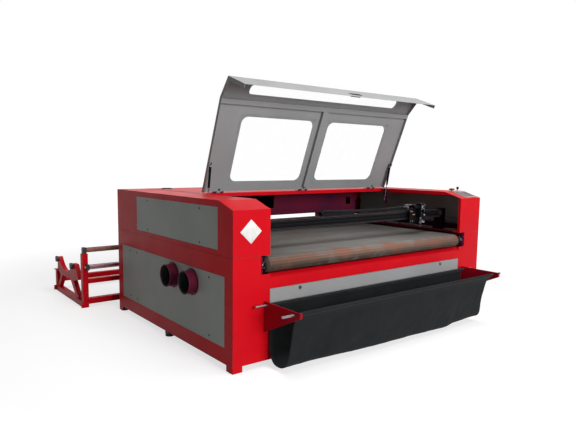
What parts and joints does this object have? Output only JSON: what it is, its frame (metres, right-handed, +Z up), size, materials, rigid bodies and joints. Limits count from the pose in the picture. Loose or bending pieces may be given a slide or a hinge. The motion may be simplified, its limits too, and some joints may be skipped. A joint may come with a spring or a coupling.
{
  "type": "laser cutter",
  "caption": "Red and grey laser cutting machine with an open windowed lid, a mesh conveyor bed, a cloth catch trough in front and a roll feeder stand behind.",
  "frame": {"origin": "on the floor, below the centre of the whole outline with the lid open", "axes": "+X to the machine's right as its user stands in front, +Y to the rear where the roll feeder stands, +Z up"},
  "size_m": [3.09, 3.205, 1.8633],
  "materials": {
    "red_paint": "glossy powder coat",
    "grey_paint": "satin powder coat",
    "dark_metal": "satin black",
    "plain_steel": "brushed",
    "panel_plastic": "matt",
    "button_plastic": "gloss",
    "chain_plastic": "matt",
    "tube_glass": "clear",
    "pane_acrylic": "clear",
    "belt_mesh": "dark woven mesh",
    "belt_rubber": "matt",
    "roller_rubber": "satin",
    "trough_fabric": "woven"
  },
  "bodies": {
    "cabinet": {"base_frame": "dark_metal", "foot_pads": "dark_metal", "tower_left": "red_paint", "tower_right": "red_paint", "side_left": "red_paint", "side_right": "red_paint", "front_rails": "red_paint", "front_panel": "grey_paint", "rear_sheet": "red_paint", "rear_panels": "grey_paint", "rear_top_plate": "red_paint", "tube_tray": "red_paint", "side_panels": "grey_paint", "panel_screws": "dark_metal", "control_panel": "panel_plastic", "switch_rings": "plain_steel", "exhaust_box": "plain_steel", "exhaust_ducts": "red_paint", "laser_tube": "tube_glass", "tube_mounts": "dark_metal", "electronics": "plain_steel", "conveyor_plates": "dark_metal", "bed_frame": "plain_steel", "mesh_belt": "belt_mesh", "bearing_blocks": "plain_steel", "drive_motors": "dark_metal", "y_rails": "plain_steel", "y_belts": "belt_rubber", "lid_mounts": "dark_metal", "trough_brackets": "red_paint", "trough_rods": "plain_steel", "trough_cloth": "trough_fabric", "feeder_frame": "red_paint"},
    "lid": {"lid_shell": "grey_paint", "window_panes": "pane_acrylic", "lid_handle": "chain_plastic", "lid_hinges": "dark_metal"},
    "strut_tube": {"strut_tubes": "dark_metal"},
    "strut_rod": {"strut_rods": "plain_steel"},
    "gantry": {"gantry_beam": "dark_metal", "gantry_ends": "dark_metal", "x_belt": "belt_rubber", "drag_chain": "chain_plastic"},
    "head": {"carriage": "dark_metal", "head_block": "plain_steel"},
    "lens": {"lens_tube": "plain_steel"},
    "sync": {"sync_shaft": "plain_steel"},
    "idlers": {"y_idlers": "plain_steel"},
    "x_pulley_right": {"x_pulley_right": "plain_steel"},
    "x_pulley_left": {"x_pulley_left": "plain_steel"},
    "front_drum": {"roller_front": "plain_steel"},
    "rear_drum": {"roller_rear": "plain_steel"},
    "upper_feed": {"feed_roller_upper": "roller_rubber"},
    "lower_feed": {"feed_roller_lower": "plain_steel"},
    "near_wheels": {"cradle_wheels_near": "plain_steel"},
    "far_wheels": {"cradle_wheels_far": "plain_steel"},
    "estop": {"estop_button": "button_plastic"},
    "key": {"key_switch": "plain_steel"},
    "left_lock": {"lock_left": "dark_metal"},
    "right_lock": {"lock_right": "dark_metal"}
  },
  "joints": [
    {"name": "lid_hinge", "type": "hinge", "parent": "cabinet", "child": "lid", "pos_m": [0, -0.3975, 1.06], "axis": [1, 0, 0], "range_deg": [0, 69]},
    {"name": "strut_swing", "type": "hinge", "parent": "lid", "child": "strut_tube", "pos_m": [0, -0.50778, 1.27474], "axis": [1, 0, 0], "range_deg": [-17.5, 0]},
    {"name": "strut_slide", "type": "slide", "parent": "strut_tube", "child": "strut_rod", "axis": [0, 0.1583, -0.9874], "range_m": [-0.13712, 0]},
    {"name": "gantry_slide", "type": "slide", "parent": "cabinet", "child": "gantry", "axis": [0, 1, 0], "range_m": [-0.06, 0.86]},
    {"name": "head_slide", "type": "slide", "parent": "gantry", "child": "head", "axis": [1, 0, 0], "range_m": [-1.55, 0.19]},
    {"name": "lens_focus", "type": "slide", "parent": "head", "child": "lens", "axis": [0, 0, 1], "range_m": [-0.03, 0.01]},
    {"name": "sync_turn", "type": "hinge", "parent": "cabinet", "child": "sync", "pos_m": [0, 0.4425, 0.8], "axis": [1, 0, 0], "range_deg": [-172.89, 2464.72]},
    {"name": "y_idler_turn", "type": "hinge", "parent": "cabinet", "child": "idlers", "pos_m": [0, -1.1875, 0.8], "axis": [1, 0, 0], "range_deg": [-172.89, 2464.72]},
    {"name": "x_pulley_right_turn", "type": "hinge", "parent": "gantry", "child": "x_pulley_right", "pos_m": [1.04, -1.0315, 0.8625], "axis": [0, 1, 0], "range_deg": [-4170.41, 512.09]},
    {"name": "x_pulley_left_turn", "type": "hinge", "parent": "gantry", "child": "x_pulley_left", "pos_m": [-1.04, -1.0315, 0.8625], "axis": [0, 1, 0], "range_deg": [-4170.41, 512.09]},
    {"name": "front_drum_turn", "type": "hinge", "parent": "cabinet", "child": "front_drum", "pos_m": [0, -1.2275, 0.65], "axis": [1, 0, 0], "continuous": true},
    {"name": "rear_drum_turn", "type": "hinge", "parent": "cabinet", "child": "rear_drum", "pos_m": [0, 0.4825, 0.65], "axis": [1, 0, 0], "continuous": true},
    {"name": "upper_feed_turn", "type": "hinge", "parent": "cabinet", "child": "upper_feed", "pos_m": [0, 0.7775, 0.511], "axis": [1, 0, 0], "continuous": true},
    {"name": "lower_feed_turn", "type": "hinge", "parent": "cabinet", "child": "lower_feed", "pos_m": [0, 0.7275, 0.366], "axis": [1, 0, 0], "continuous": true},
    {"name": "near_wheels_turn", "type": "hinge", "parent": "cabinet", "child": "near_wheels", "pos_m": [0, 1.0495, 0.33], "axis": [1, 0, 0], "continuous": true},
    {"name": "far_wheels_turn", "type": "hinge", "parent": "cabinet", "child": "far_wheels", "pos_m": [0, 1.5055, 0.33], "axis": [1, 0, 0], "continuous": true},
    {"name": "estop_push", "type": "slide", "parent": "cabinet", "child": "estop", "axis": [0, 0, 1], "range_m": [-0.004, 0]},
    {"name": "key_turn", "type": "hinge", "parent": "cabinet", "child": "key", "pos_m": [1.203, -1.0815, 1.052], "axis": [0, 0, 1], "range_deg": [-90, 0]},
    {"name": "left_lock_turn", "type": "hinge", "parent": "cabinet", "child": "left_lock", "pos_m": [-0.749, -1.2575, 0.477], "axis": [0, 1, 0], "range_deg": [0, 90]},
    {"name": "right_lock_turn", "type": "hinge", "parent": "cabinet", "child": "right_lock", "pos_m": [0.749, -1.2575, 0.477], "axis": [0, 1, 0], "range_deg": [0, 90]}
  ],
  "couplings": [
    {"joint": "strut_swing", "follows": "lid_hinge", "ratio": -0.25294},
    {"joint": "strut_slide", "follows": "lid_hinge", "m_per_rad": -0.11369},
    {"joint": "sync_turn", "follows": "gantry_slide", "rad_per_m": 50},
    {"joint": "y_idler_turn", "follows": "gantry_slide", "rad_per_m": 50},
    {"joint": "x_pulley_right_turn", "follows": "head_slide", "rad_per_m": 46.948},
    {"joint": "x_pulley_left_turn", "follows": "head_slide", "rad_per_m": 46.948},
    {"joint": "rear_drum_turn", "follows": "front_drum_turn", "ratio": 1}
  ]
}
